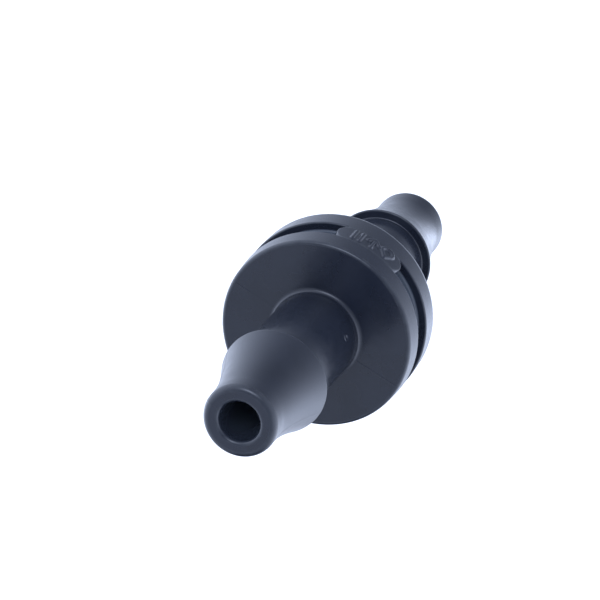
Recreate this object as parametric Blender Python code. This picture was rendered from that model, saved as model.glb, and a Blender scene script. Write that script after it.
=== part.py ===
"""Inline drip emitter for 4 mm micro tube: a cup and a snapped-in cap around a regulating core.

Frame: +X is the flow direction, from the inlet barb to the outlet barb.  +Z points up through the
middle of the raised pad that bridges the body's groove.  The origin is the middle of the body, on
the bore axis.  Lengths are in metres.
"""
import math

import bmesh
import bpy
from mathutils import Matrix, Vector

MM = 0.001

# ---- Driving dimensions -------------------------------------------------------------------------
SEGMENTS = 40                    # flats round every turned piece
GAP = 0.10 * MM                  # clearance between neighbouring pieces

HALF_LENGTH = 14.9 * MM          # body centre to either tip
BORE_RADIUS = 1.13 * MM
TIP_RADIUS = 2.05 * MM           # straight start of the barb
LIP_ROUND = 0.35 * MM            # rounding of the tip's outer lip
MOUTH_CHAMFER = 0.16 * MM        # break at the bore's mouth
BARB_RADIUS = 3.00 * MM          # grips a tube of about 4.3 mm bore
BARB_STRAIGHT = 1.20 * MM        # straight length behind the tip
FLARE_POWER = 1.60               # the flare opens slowly, then runs nearly straight to the shoulder
SHOULDER_X = 9.20 * MM           # barb shoulder, from the body centre
NECK_RADIUS = 2.47 * MM
NECK_FILLET = 0.25 * MM

FACE_FRONT_X = -2.42 * MM        # the disc's inlet face
FACE_REAR_X = 2.25 * MM          # the disc's outlet face
RIM_RADIUS = 5.40 * MM           # both rims, at the disc's faces
CREST_RADIUS = 5.47 * MM         # both rims, beside the groove
FRONT_ROUND = 0.20 * MM          # front rim's corner
REAR_ROUND = 0.50 * MM           # rear rim's corner
EDGE_BREAK = 0.10 * MM           # small break along both sides of the groove
GROOVE_START = -1.05 * MM
GROOVE_END = 0.38 * MM
GROOVE_RADIUS = 4.92 * MM        # groove floor

WALL_FRONT = 0.92 * MM           # the cup's end wall
WALL_REAR = 0.90 * MM            # the cap's end wall
CHAMBER_RADIUS = 3.90 * MM
STEP_X = 0.75 * MM               # where the chamber widens to take the cap
CAP_RADIUS = 4.60 * MM
CAP_LIP_OUTER = 4.05 * MM        # the lip that holds the seal ring in its corner
CAP_LIP_INNER = 3.60 * MM
SNAP_X = 1.78 * MM               # middle of the snap bead
SNAP_HALF = 0.14 * MM
SNAP_HEIGHT = 0.10 * MM

PAD_HALF_ANGLE = math.radians(22.5)
PAD_RADIUS = 5.42 * MM           # level with the two rims
PAD_ROOT_RADIUS = 4.30 * MM
PAD_CORNER = 0.72 * MM           # rounding of the pad's ends, seen from outside
PAD_OVERLAP = 0.30 * MM          # how far the pad runs into each rim
PAD_COLUMNS = 14

FILTER_RADIUS = 3.75 * MM
FILTER_THICK = 0.25 * MM
FILTER_HOLE = 0.22 * MM
FILTER_RINGS = ((0.0, 1), (0.95 * MM, 6), (1.85 * MM, 12), (2.75 * MM, 18))

PLATE_RADIUS = 3.80 * MM
PLATE_THICK = 1.00 * MM
CHANNEL_DEPTH = 0.45 * MM
CHANNEL_MIDDLE = 2.95 * MM       # mean radius of the labyrinth
CHANNEL_WIDTH = 0.55 * MM
TOOTH_REACH = 0.22 * MM          # how far each tooth swings the path
TEETH = 22
CHANNEL_SWEEP = math.radians(310.0)
PORT_RADIUS = 0.28 * MM

DIAPHRAGM_RADIUS = 3.45 * MM
DIAPHRAGM_THICK = 0.50 * MM
DIAPHRAGM_RIM = 0.12 * MM
DIAPHRAGM_TRAVEL = 0.25 * MM     # from the plate to the outlet seat

SEAT_RADIUS = 1.95 * MM
SEAT_WALL = 0.45 * MM
METERING_SLOT = 0.30 * MM
METERING_DEPTH = 0.16 * MM

SEAL_SECTION = 0.225 * MM        # radius of the seal ring's round section
SEAL_MIDDLE = 4.37 * MM

# ---- Places worked out from them ----------------------------------------------------------------
CHAMBER_FRONT = FACE_FRONT_X + WALL_FRONT
CHAMBER_REAR = FACE_REAR_X - WALL_REAR
FILTER_X = CHAMBER_FRONT + GAP
PLATE_X = FILTER_X + FILTER_THICK + GAP
PLATE_REAR = PLATE_X + PLATE_THICK
DIAPHRAGM_X = PLATE_REAR + GAP
SEAT_X = DIAPHRAGM_X + DIAPHRAGM_THICK + DIAPHRAGM_TRAVEL + 0.5 * GAP
SOCKET_RADIUS = CAP_RADIUS + GAP
CAP_FRONT = STEP_X + GAP
SEAL_X = 0.5 * (STEP_X + CHAMBER_REAR)


# ---- Helpers ------------------------------------------------------------------------------------
def clear_scene():
    for item in list(bpy.data.objects):
        bpy.data.objects.remove(item, do_unlink=True)


def plastic(name, colour, roughness):
    material = bpy.data.materials.new(name)
    material.use_nodes = True
    shader = material.node_tree.nodes["Principled BSDF"]
    shader.inputs["Base Color"].default_value = (*colour, 1.0)
    shader.inputs["Roughness"].default_value = roughness
    shader.inputs["Metallic"].default_value = 0.0
    return material


def arc(centre, radius, start_deg, end_deg, steps):
    """Points of a round stretch of an outline, in (x, r), both ends included."""
    points = []
    for step in range(steps + 1):
        angle = math.radians(start_deg + (end_deg - start_deg) * step / steps)
        points.append((centre[0] + radius * math.cos(angle), centre[1] + radius * math.sin(angle)))
    return points


def object_from(bm, name, material):
    """Close a bmesh into a named object, with outward faces and smooth round sides."""
    bmesh.ops.remove_doubles(bm, verts=bm.verts, dist=1e-7)
    bmesh.ops.recalc_face_normals(bm, faces=bm.faces)
    mesh = bpy.data.meshes.new(name)
    bm.to_mesh(mesh)
    bm.free()
    mesh.shade_smooth()
    mesh.set_sharp_from_angle(angle=math.radians(32.0))
    mesh.materials.append(material)
    item = bpy.data.objects.new(name, mesh)
    bpy.context.collection.objects.link(item)
    return item


def turned(name, outline, material, closed=True):
    """Spin an outline of (x, r) points about the X axis.

    A closed outline makes a ring-shaped piece.  An open one starts and ends on the axis.
    """
    bm = bmesh.new()
    verts = [bm.verts.new((x, 0.0, r)) for x, r in outline]
    pairs = list(zip(verts, verts[1:]))
    if closed:
        pairs.append((verts[-1], verts[0]))
    edges = [bm.edges.new(pair) for pair in pairs]
    bmesh.ops.spin(
        bm,
        geom=verts + edges,
        cent=(0.0, 0.0, 0.0),
        axis=(1.0, 0.0, 0.0),
        angle=math.tau,
        steps=SEGMENTS,
        use_merge=True,
    )
    return object_from(bm, name, material)


def cutter(item):
    item.hide_render = True
    item.display_type = "WIRE"
    return item


def boolean(item, tool, operation):
    modifier = item.modifiers.new(operation.title() + "_" + tool.name, "BOOLEAN")
    modifier.operation = operation
    modifier.solver = "EXACT"
    modifier.object = tool


def rod(name, radius, start, end, material, sides=12):
    """A plain round cutter between two points."""
    start = Vector(start)
    end = Vector(end)
    bm = bmesh.new()
    bmesh.ops.create_cone(
        bm,
        cap_ends=True,
        segments=sides,
        radius1=radius,
        radius2=radius,
        depth=(end - start).length,
    )
    turn = Vector((0.0, 0.0, 1.0)).rotation_difference(end - start).to_matrix().to_4x4()
    place = Matrix.Translation((start + end) / 2.0)
    bmesh.ops.transform(bm, matrix=place @ turn, verts=bm.verts)
    return object_from(bm, name, material)


def on_circle(x, radius, angle):
    """A point at an angle round the X axis, counted from +Z towards +Y."""
    return Vector((x, radius * math.sin(angle), radius * math.cos(angle)))


# ---- Outlines -----------------------------------------------------------------------------------
def barb_outline():
    """The outside of one barb from its bore mouth to its shoulder, as (distance from tip, r)."""
    points = [(0.0, BORE_RADIUS + MOUTH_CHAMFER)]
    points += arc((LIP_ROUND, TIP_RADIUS - LIP_ROUND), LIP_ROUND, 180.0, 90.0, 4)
    shoulder = HALF_LENGTH - SHOULDER_X
    steps = 9
    for step in range(steps + 1):
        share = step / steps
        radius = TIP_RADIUS + (BARB_RADIUS - TIP_RADIUS) * share ** FLARE_POWER
        points.append((BARB_STRAIGHT + (shoulder - BARB_STRAIGHT) * share, radius))
    points.append((shoulder, NECK_RADIUS))
    return points


def neck_root(face_distance):
    """The fillet from the neck to a disc face, as (distance from the body centre, r)."""
    centre = (face_distance + NECK_FILLET, NECK_RADIUS + NECK_FILLET)
    return arc(centre, NECK_FILLET, 270.0, 180.0, 4)


def body_outline():
    """Inlet barb, front rim, groove, rear rim, then back through the socket, chamber and bore."""
    outline = [(-HALF_LENGTH + x, r) for x, r in barb_outline()]
    outline += [(-x, r) for x, r in neck_root(-FACE_FRONT_X)]
    corner = (FACE_FRONT_X + FRONT_ROUND, RIM_RADIUS - FRONT_ROUND)
    outline += arc(corner, FRONT_ROUND, 180.0, 90.0, 3)
    outline += [
        (GROOVE_START - EDGE_BREAK, CREST_RADIUS),
        (GROOVE_START, CREST_RADIUS - EDGE_BREAK),
        (GROOVE_START, GROOVE_RADIUS),
        (GROOVE_END, GROOVE_RADIUS),
        (GROOVE_END, CREST_RADIUS - EDGE_BREAK),
        (GROOVE_END + EDGE_BREAK, CREST_RADIUS),
    ]
    outline += arc((FACE_REAR_X - REAR_ROUND, RIM_RADIUS - REAR_ROUND), REAR_ROUND, 90.0, 0.0, 5)
    outline += [
        (FACE_REAR_X, SOCKET_RADIUS),
        (SNAP_X + SNAP_HALF, SOCKET_RADIUS),
        (SNAP_X, SOCKET_RADIUS + SNAP_HEIGHT),
        (SNAP_X - SNAP_HALF, SOCKET_RADIUS),
        (STEP_X, SOCKET_RADIUS),
        (STEP_X, CHAMBER_RADIUS),
        (CHAMBER_FRONT, CHAMBER_RADIUS),
        (CHAMBER_FRONT, BORE_RADIUS),
        (-HALF_LENGTH + MOUTH_CHAMFER, BORE_RADIUS),
    ]
    return outline


def cap_outline():
    """Outlet barb, rear face, snapped rim, seal corner, lip, diaphragm seat and bore."""
    outline = [(HALF_LENGTH - x, r) for x, r in barb_outline()]
    outline += neck_root(FACE_REAR_X)
    outline += [
        (FACE_REAR_X, CAP_RADIUS - EDGE_BREAK),
        (FACE_REAR_X - EDGE_BREAK, CAP_RADIUS),
        (SNAP_X + SNAP_HALF, CAP_RADIUS),
        (SNAP_X, CAP_RADIUS + SNAP_HEIGHT),
        (SNAP_X - SNAP_HALF, CAP_RADIUS),
        (CHAMBER_REAR, CAP_RADIUS),
        (CHAMBER_REAR, CAP_LIP_OUTER),
        (CAP_FRONT, CAP_LIP_OUTER),
        (CAP_FRONT, CAP_LIP_INNER),
        (CHAMBER_REAR, CAP_LIP_INNER),
        (CHAMBER_REAR, SEAT_RADIUS),
        (SEAT_X, SEAT_RADIUS),
        (SEAT_X, SEAT_RADIUS - SEAT_WALL),
        (SEAT_X + SEAT_WALL, BORE_RADIUS),
        (HALF_LENGTH - MOUTH_CHAMFER, BORE_RADIUS),
    ]
    return outline


# ---- The raised pad across the groove -----------------------------------------------------------
def pad_block(material):
    """A bar that follows the body's curve, with rounded ends, wide enough to bridge the groove."""
    low_x = GROOVE_START - PAD_OVERLAP
    high_x = GROOVE_END + PAD_OVERLAP
    half_arc = PAD_HALF_ANGLE * PAD_RADIUS
    rows = []
    bm = bmesh.new()
    for column in range(PAD_COLUMNS + 1):
        # Columns crowd towards the two ends, where the outline turns.
        share = math.sin(math.pi * (column / PAD_COLUMNS - 0.5))
        along = half_arc * share
        into_corner = max(0.0, abs(along) - (half_arc - PAD_CORNER))
        trim = PAD_CORNER - math.sqrt(max(0.0, PAD_CORNER ** 2 - into_corner ** 2))
        angle = along / PAD_RADIUS
        corners = (
            (low_x + trim, PAD_RADIUS),
            (high_x - trim, PAD_RADIUS),
            (high_x - trim, PAD_ROOT_RADIUS),
            (low_x + trim, PAD_ROOT_RADIUS),
        )
        rows.append([bm.verts.new(on_circle(x, r, angle)) for x, r in corners])
    for here, there in zip(rows, rows[1:]):
        for side in range(4):
            other = (side + 1) % 4
            bm.faces.new((here[side], here[other], there[other], there[side]))
    bm.faces.new(rows[0])
    bm.faces.new(rows[-1])
    return object_from(bm, "pad_block", material)


# ---- Sub-parts ----------------------------------------------------------------------------------
def make_inlet_body(material):
    shell = turned("inlet_body", body_outline(), material)
    boolean(shell, cutter(pad_block(material)), "UNION")
    return shell


def make_outlet_cap(material):
    shell = turned("outlet_cap", cap_outline(), material)
    # A shallow slot across the seat lets a metered flow pass when the diaphragm is pressed on it.
    depth_x = SEAT_X + METERING_DEPTH
    slot = rod(
        "metering_slot",
        METERING_SLOT / 2.0,
        (depth_x - METERING_SLOT / 2.0, 0.0, 0.0),
        (depth_x - METERING_SLOT / 2.0, 0.0, SEAT_RADIUS + 2.0 * GAP),
        material,
    )
    boolean(shell, cutter(slot), "DIFFERENCE")
    return shell


def make_filter_screen(material):
    outline = [
        (FILTER_X, 0.0),
        (FILTER_X, FILTER_RADIUS),
        (FILTER_X + FILTER_THICK, FILTER_RADIUS),
        (FILTER_X + FILTER_THICK, 0.0),
    ]
    screen = turned("filter_screen", outline, material, closed=False)
    bm = bmesh.new()
    for ring_radius, count in FILTER_RINGS:
        for number in range(count):
            centre = on_circle(FILTER_X + FILTER_THICK / 2.0, ring_radius, math.tau * number / count)
            made = bmesh.ops.create_cone(
                bm,
                cap_ends=True,
                segments=8,
                radius1=FILTER_HOLE,
                radius2=FILTER_HOLE,
                depth=3.0 * FILTER_THICK,
            )
            turn = Matrix.Rotation(math.radians(90.0), 4, "Y")
            place = Matrix.Translation(centre) @ turn
            bmesh.ops.transform(bm, matrix=place, verts=made["verts"])
    holes = object_from(bm, "filter_holes", material)
    boolean(screen, cutter(holes), "DIFFERENCE")
    return screen


def labyrinth_cutter(material):
    """A strip round the plate whose two walls swing in and out together, once per tooth."""
    bm = bmesh.new()
    steps = 2 * TEETH
    floor_x = PLATE_REAR - CHANNEL_DEPTH
    top_x = PLATE_REAR + 2.0 * GAP
    rows = []
    for step in range(steps + 1):
        angle = CHANNEL_SWEEP * step / steps
        swing = TOOTH_REACH if step % 2 else -TOOTH_REACH
        inner = CHANNEL_MIDDLE - CHANNEL_WIDTH / 2.0 + swing
        outer = CHANNEL_MIDDLE + CHANNEL_WIDTH / 2.0 + swing
        corners = ((floor_x, inner), (floor_x, outer), (top_x, outer), (top_x, inner))
        rows.append([bm.verts.new(on_circle(x, r, angle)) for x, r in corners])
    for here, there in zip(rows, rows[1:]):
        for side in range(4):
            other = (side + 1) % 4
            bm.faces.new((here[side], here[other], there[other], there[side]))
    bm.faces.new(rows[0])
    bm.faces.new(rows[-1])
    return object_from(bm, "labyrinth_path", material)


def make_labyrinth_plate(material):
    outline = [
        (PLATE_X, 0.0),
        (PLATE_X, PLATE_RADIUS),
        (PLATE_REAR, PLATE_RADIUS),
        (PLATE_REAR, 0.0),
    ]
    plate = turned("labyrinth_plate", outline, material, closed=False)
    boolean(plate, cutter(labyrinth_cutter(material)), "DIFFERENCE")
    # The inlet port goes through at the path's start, and a notch opens its end to the rim.
    start = on_circle(PLATE_X - GAP, CHANNEL_MIDDLE - TOOTH_REACH, 0.04)
    end = on_circle(PLATE_REAR - 0.5 * CHANNEL_DEPTH, CHANNEL_MIDDLE - TOOTH_REACH, 0.04)
    port = rod("inlet_port", PORT_RADIUS, start, end, material)
    boolean(plate, cutter(port), "DIFFERENCE")
    last_angle = CHANNEL_SWEEP - 0.06
    mid_depth = PLATE_REAR - 0.5 * CHANNEL_DEPTH
    inside = on_circle(mid_depth, CHANNEL_MIDDLE - TOOTH_REACH, last_angle)
    outside = on_circle(mid_depth, PLATE_RADIUS + 2.0 * GAP, last_angle)
    notch = rod("outlet_notch", 0.75 * PORT_RADIUS, inside, outside, material)
    boolean(plate, cutter(notch), "DIFFERENCE")
    return plate


def make_diaphragm(material):
    outline = [(DIAPHRAGM_X, 0.0)]
    rear = DIAPHRAGM_X + DIAPHRAGM_THICK
    low = (DIAPHRAGM_X + DIAPHRAGM_RIM, DIAPHRAGM_RADIUS - DIAPHRAGM_RIM)
    high = (rear - DIAPHRAGM_RIM, DIAPHRAGM_RADIUS - DIAPHRAGM_RIM)
    outline += arc(low, DIAPHRAGM_RIM, 180.0, 90.0, 3)
    outline += arc(high, DIAPHRAGM_RIM, 90.0, 0.0, 3)
    outline.append((rear, 0.0))
    return turned("diaphragm", outline, material, closed=False)


def make_seal_ring(material):
    outline = arc((SEAL_X, SEAL_MIDDLE), SEAL_SECTION, 0.0, 330.0, 11)
    return turned("seal_ring", outline, material)


# ---- Build --------------------------------------------------------------------------------------
def main():
    clear_scene()
    shell_black = plastic("shell_black", (0.016, 0.019, 0.027), 0.42)
    core_black = plastic("core_black", (0.020, 0.022, 0.026), 0.50)
    screen_grey = plastic("screen_grey", (0.085, 0.090, 0.100), 0.48)
    silicone = plastic("silicone", (0.45, 0.10, 0.06), 0.60)
    seal_black = plastic("seal_black", (0.012, 0.012, 0.013), 0.65)

    make_inlet_body(shell_black)
    make_outlet_cap(shell_black)
    make_filter_screen(screen_grey)
    make_labyrinth_plate(core_black)
    make_diaphragm(silicone)
    make_seal_ring(seal_black)


main()
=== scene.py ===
# %% [markdown]
# # An inline drip emitter for 4 mm micro tube
# The emitter is a black moulded cup with an inlet barb, and a cap with an outlet barb that is snapped
# into it from behind.  It is drawn 29.8 mm long, an estimate for a barb that fits 4 mm micro tube.
# Between the two sit a filter, a labyrinth plate, a silicone diaphragm and a seal ring, drawn as such
# emitters hold them.  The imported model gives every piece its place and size.  This script gives them
# their fine surface: rounded lips, fillets, the mould's parting line, the raised marks on the pad, and
# the finish of the plastic.

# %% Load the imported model
import math

import bmesh
import bpy
import numpy as np
from mathutils import Matrix, Vector


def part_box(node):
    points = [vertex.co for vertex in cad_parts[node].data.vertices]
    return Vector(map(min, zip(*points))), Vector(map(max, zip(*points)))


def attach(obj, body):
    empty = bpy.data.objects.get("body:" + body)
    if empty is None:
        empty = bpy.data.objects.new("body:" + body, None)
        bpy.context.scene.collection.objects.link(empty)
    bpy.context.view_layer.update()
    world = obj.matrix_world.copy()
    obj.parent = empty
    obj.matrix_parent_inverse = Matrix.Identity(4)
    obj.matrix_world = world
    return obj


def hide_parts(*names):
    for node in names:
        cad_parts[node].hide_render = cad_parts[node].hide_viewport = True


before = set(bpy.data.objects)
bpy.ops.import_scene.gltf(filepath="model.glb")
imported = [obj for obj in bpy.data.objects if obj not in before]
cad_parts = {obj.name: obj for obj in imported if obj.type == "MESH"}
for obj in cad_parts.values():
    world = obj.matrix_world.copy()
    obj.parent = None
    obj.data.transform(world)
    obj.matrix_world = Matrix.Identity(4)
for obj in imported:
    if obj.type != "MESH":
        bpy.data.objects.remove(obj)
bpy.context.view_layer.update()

MM = 0.001

# %% [markdown]
# ## The driving sizes
# The flow runs along +X.  The tips, the rear face, the crest, the cap's plug and the small pieces are
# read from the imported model, so that the fine shells fall exactly where the plain ones were.  The
# remaining sizes are those that a mould maker would put on the drawing: lips, fillets, the groove and
# the chamber.

# %% Sizes read from the frame
cup_low, cup_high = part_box("inlet_body")
cap_low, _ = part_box("outlet_cap")
screen_low, screen_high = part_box("filter_screen")
rubber_low, rubber_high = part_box("diaphragm")
seal_low, seal_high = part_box("seal_ring")

TIP_X = -cup_low.x
FACE_REAR_X = cup_high.x
CREST_RADIUS = cup_high.z
print("tip, rear face and crest in mm:", [round(size / MM, 2) for size in (TIP_X, FACE_REAR_X, CREST_RADIUS)])

# %% Sizes from the drawing
BORE_RADIUS = 1.13 * MM
TIP_RADIUS = 2.05 * MM
LIP_ROUND = 0.35 * MM
MOUTH_ROUND = 0.20 * MM
BARB_RADIUS = 3.00 * MM
BARB_STRAIGHT = 1.20 * MM
FLARE_POWER = 1.60
SHOULDER_X = 9.20 * MM
SHOULDER_ROUND = 0.09 * MM
NECK_RADIUS = 2.47 * MM
NECK_FILLET = 0.25 * MM

FACE_FRONT_X = -2.42 * MM
RIM_RADIUS = CREST_RADIUS - 0.07 * MM
FACE_ROUND = 0.20 * MM
REAR_ROUND = 0.50 * MM
GROOVE_START = -1.05 * MM
GROOVE_END = 0.38 * MM
GROOVE_RADIUS = 4.92 * MM
GROOVE_EDGE = 0.09 * MM
GROOVE_ROOT = 0.15 * MM

CHAMBER_FRONT = -1.50 * MM
CHAMBER_REAR = 1.35 * MM
CHAMBER_RADIUS = 3.90 * MM
STEP_X = 0.75 * MM
SOCKET_RADIUS = 4.70 * MM
CAP_RADIUS = 4.60 * MM
SNAP_X = 1.78 * MM
SNAP_HALF = 0.14 * MM
SNAP_HEIGHT = 0.10 * MM
print("bore, neck and barb across in mm:", [2.0 * r / MM for r in (BORE_RADIUS, NECK_RADIUS, BARB_RADIUS)])

# %% [markdown]
# ## The camera
# A product shot of a small part is taken from far away with a long lens, so that the near barb
# doesn't swell.  The camera looks along the flow, a little from above and from one side, and it is
# rolled about its own axis so that the emitter runs up to the right.  Its place is given by a
# distance and two angles, and its aim by two more and the roll.  Angles are easier to adjust than a
# matrix.

# %% Place the camera
def towards(azimuth, elevation):
    """A direction from two angles in degrees, counted from +X and from the horizon."""
    azimuth, elevation = math.radians(azimuth), math.radians(elevation)
    level = math.cos(elevation)
    return Vector((level * math.cos(azimuth), level * math.sin(azimuth), math.sin(elevation)))


def make_camera(distance, stands, faces_away_from, roll, lens):
    """A camera that stands in one direction and has its back to another; both are angle pairs."""
    place = towards(*stands) * distance
    back = towards(*faces_away_from)
    level = Vector((0.0, 0.0, 1.0)).cross(back).normalized()
    right = Matrix.Rotation(math.radians(roll), 3, back) @ level
    up = back.cross(right)
    data = bpy.data.cameras.new("camera")
    data.lens = lens
    data.sensor_width = 36.0
    data.clip_start = 0.01
    data.clip_end = 10.0
    data.dof.use_dof = False
    camera = bpy.data.objects.new("camera", data)
    bpy.context.collection.objects.link(camera)
    turn = Matrix((right, up, back)).transposed()
    camera.matrix_world = Matrix.Translation(place) @ turn.to_4x4()
    bpy.context.scene.camera = camera
    return camera


camera = make_camera(
    distance=233.84 * MM,
    stands=(-175.069, 28.336),
    faces_away_from=(-174.547, 28.325),
    roll=30.323,
    lens=255.65,
)
print("camera is", round(camera.location.length / MM), "mm from the emitter's middle")

# %% [markdown]
# ## Floor and light
# A small black part is lit inside a white tent, so that the plastic shows its form only by what
# it reflects.  The tent here is one smooth rule: how bright it is in any direction depends on how far
# that direction leans to the sides, where two big lamps stand, and on its height.  It is darker
# behind the part and overhead, and brighter low down, where the table throws light back.  The light
# is faintly blue, which gives the black plastic its cold sheen.  Four lamps and a dark card are added
# to the rule, each a soft spot that fades with the angle from its middle.  A pale floor lies well
# below, whitened by a soft box.  Both are kept out of the reflections, because the tent's rule
# already holds the light from below.

# %% The floor
def node(tree, kind, place, **settings):
    item = tree.nodes.new(kind)
    item.location = place
    for name, value in settings.items():
        setattr(item, name, value)
    return item


def make_floor(height):
    bm = bmesh.new()
    bmesh.ops.create_grid(bm, x_segments=1, y_segments=1, size=3.0)
    mesh = bpy.data.meshes.new("floor")
    bm.to_mesh(mesh)
    bm.free()
    mesh.transform(Matrix.Translation((0.0, 0.0, height)))
    material = bpy.data.materials.new("pale_paper")
    material.use_nodes = True
    shader = material.node_tree.nodes["Principled BSDF"]
    shader.inputs["Base Color"].default_value = (0.93, 0.94, 0.96, 1.0)
    shader.inputs["Roughness"].default_value = 0.9
    shader.inputs["Specular IOR Level"].default_value = 0.1
    mesh.materials.append(material)
    floor = bpy.data.objects.new("floor", mesh)
    bpy.context.collection.objects.link(floor)
    return floor


floor = make_floor(-90.0 * MM)
floor.visible_glossy = False
print("floor is", round(-floor.data.vertices[0].co.z / MM), "mm below the bore's axis")

# %% The tent's rule
LEAST_LIGHT = 0.06


def make_tent(colour, base, sides, crown, low_glow, back_shade, lamps):
    """A tent whose light is base + sides*y^2 + crown*z^2 - low_glow*z - back_shade*x*z + lamps.

    Each lamp is (azimuth, elevation, strength, tightness); a dark card is a negative lamp.
    """
    world = bpy.data.worlds.new("white_tent")
    world.use_nodes = True
    tree = world.node_tree
    background = tree.nodes["Background"]
    background.inputs["Color"].default_value = (*colour, 1.0)
    toward = node(tree, "ShaderNodeTexCoord", (-1500, 0)).outputs["Generated"]
    parts = node(tree, "ShaderNodeSeparateXYZ", (-1250, 0))
    tree.links.new(toward, parts.inputs["Vector"])

    def times(first, second, place):
        item = node(tree, "ShaderNodeMath", place, operation="MULTIPLY")
        for socket, value in zip(item.inputs, (first, second)):
            if isinstance(value, float):
                socket.default_value = value
            else:
                tree.links.new(value, socket)
        return item.outputs[0]

    x, y, z = parts.outputs["X"], parts.outputs["Y"], parts.outputs["Z"]
    terms = [
        times(times(y, y, (-1000, 300)), sides, (-800, 300)),
        times(times(z, z, (-1000, 120)), crown, (-800, 120)),
        times(z, -low_glow, (-800, -60)),
        times(times(x, z, (-1000, -240)), -back_shade, (-800, -240)),
    ]
    for number, (azimuth, elevation, strength, tightness) in enumerate(lamps):
        lean = node(tree, "ShaderNodeVectorMath", (-1250, -450 - 180 * number), operation="DOT_PRODUCT")
        tree.links.new(toward, lean.inputs[0])
        lean.inputs[1].default_value = towards(azimuth, elevation)
        short = node(tree, "ShaderNodeMath", (-1080, -450 - 180 * number), operation="SUBTRACT")
        tree.links.new(lean.outputs["Value"], short.inputs[0])
        short.inputs[1].default_value = 1.0
        falloff = node(tree, "ShaderNodeMath", (-900, -450 - 180 * number), operation="EXPONENT")
        tree.links.new(times(short.outputs[0], tightness, (-990, -450 - 180 * number)), falloff.inputs[0])
        terms.append(times(falloff.outputs[0], strength, (-800, -450 - 180 * number)))
    total = base
    for number, term in enumerate(terms):
        adder = node(tree, "ShaderNodeMath", (-550 + 150 * number, 0), operation="ADD")
        tree.links.new(term, adder.inputs[0])
        if isinstance(total, float):
            adder.inputs[1].default_value = total
        else:
            tree.links.new(total, adder.inputs[1])
        total = adder.outputs[0]
    least = node(tree, "ShaderNodeMath", (-550 + 150 * len(terms), 0), operation="MAXIMUM")
    tree.links.new(total, least.inputs[0])
    least.inputs[1].default_value = LEAST_LIGHT
    tree.links.new(least.outputs[0], background.inputs["Strength"])
    bpy.context.scene.world = world


# %% Light the tent and the floor
def soft_box(name, place, aim, size, power, colour):
    data = bpy.data.lights.new(name, "AREA")
    data.shape = "SQUARE"
    data.size = size
    data.energy = power
    data.color = colour
    light = bpy.data.objects.new(name, data)
    light.location = place
    light.rotation_mode = "QUATERNION"
    light.rotation_quaternion = (Vector(aim) - Vector(place)).to_track_quat("-Z", "Y")
    bpy.context.collection.objects.link(light)
    return light


make_tent(
    colour=(0.886, 1.0, 1.278),
    base=0.53,
    sides=1.92,
    crown=0.98,
    low_glow=0.85,
    back_shade=0.07,
    lamps=[
        (68.0, -43.0, 2.05, 19.5),
        (-62.0, -13.0, 1.25, 7.0),
        (-87.0, -68.0, -2.90, 4.4),
        (160.0, 38.0, 5.00, 32.0),
        (-14.0, -11.0, 1.80, 55.0),
    ],
)
floor_box = soft_box("floor_box", (0.2, 0.0, 0.5), (0.17, 0.0, -0.09), 0.5, 2.0, (1.0, 0.95, 0.85))
floor_box.visible_glossy = False
bpy.context.scene.view_settings.view_transform = "Standard"
print("world:", bpy.context.scene.world.name, "lamp over the floor:", floor_box.name)

# %% [markdown]
# ## Black satin plastic
# The shells are black polypropylene from a fine-eroded mould.  The colour is nearly black with a
# blue cast; nearly everything the eye sees is the surface's reflection.  Three noises break it up: a
# slow one for the flow of the melt, a middle one that varies the gloss, and a fine one for the grain
# of the mould.  Edges are rubbed a little paler.  Deep in the bore and on the groove's floor the colour
# is painted paler: partly a thin grey film of dust, partly painted light that stands in for the light
# reaching into them.  Both come from attributes that the outline carries.

# %% A small kit for material nodes
def noise(tree, vector, scale, detail, place):
    item = node(tree, "ShaderNodeTexNoise", place)
    item.inputs["Scale"].default_value = scale
    item.inputs["Detail"].default_value = detail
    item.inputs["Roughness"].default_value = 0.55
    tree.links.new(vector, item.inputs["Vector"])
    return item.outputs["Fac"]


def mapped(tree, value, low, high, place, source=(0.3, 0.7)):
    item = node(tree, "ShaderNodeMapRange", place)
    item.inputs["From Min"].default_value = source[0]
    item.inputs["From Max"].default_value = source[1]
    item.inputs["To Min"].default_value = low
    item.inputs["To Max"].default_value = high
    tree.links.new(value, item.inputs["Value"])
    return item.outputs["Result"]


def mixed(tree, share, first, second, place):
    """Blend two colours by a share; each colour is a tuple or a socket."""
    item = node(tree, "ShaderNodeMix", place, data_type="RGBA")
    tree.links.new(share, item.inputs["Factor"])
    for socket, colour in ((item.inputs[6], first), (item.inputs[7], second)):
        if isinstance(colour, tuple):
            socket.default_value = (*colour, 1.0)
        else:
            tree.links.new(colour, socket)
    return item.outputs[2]


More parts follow.
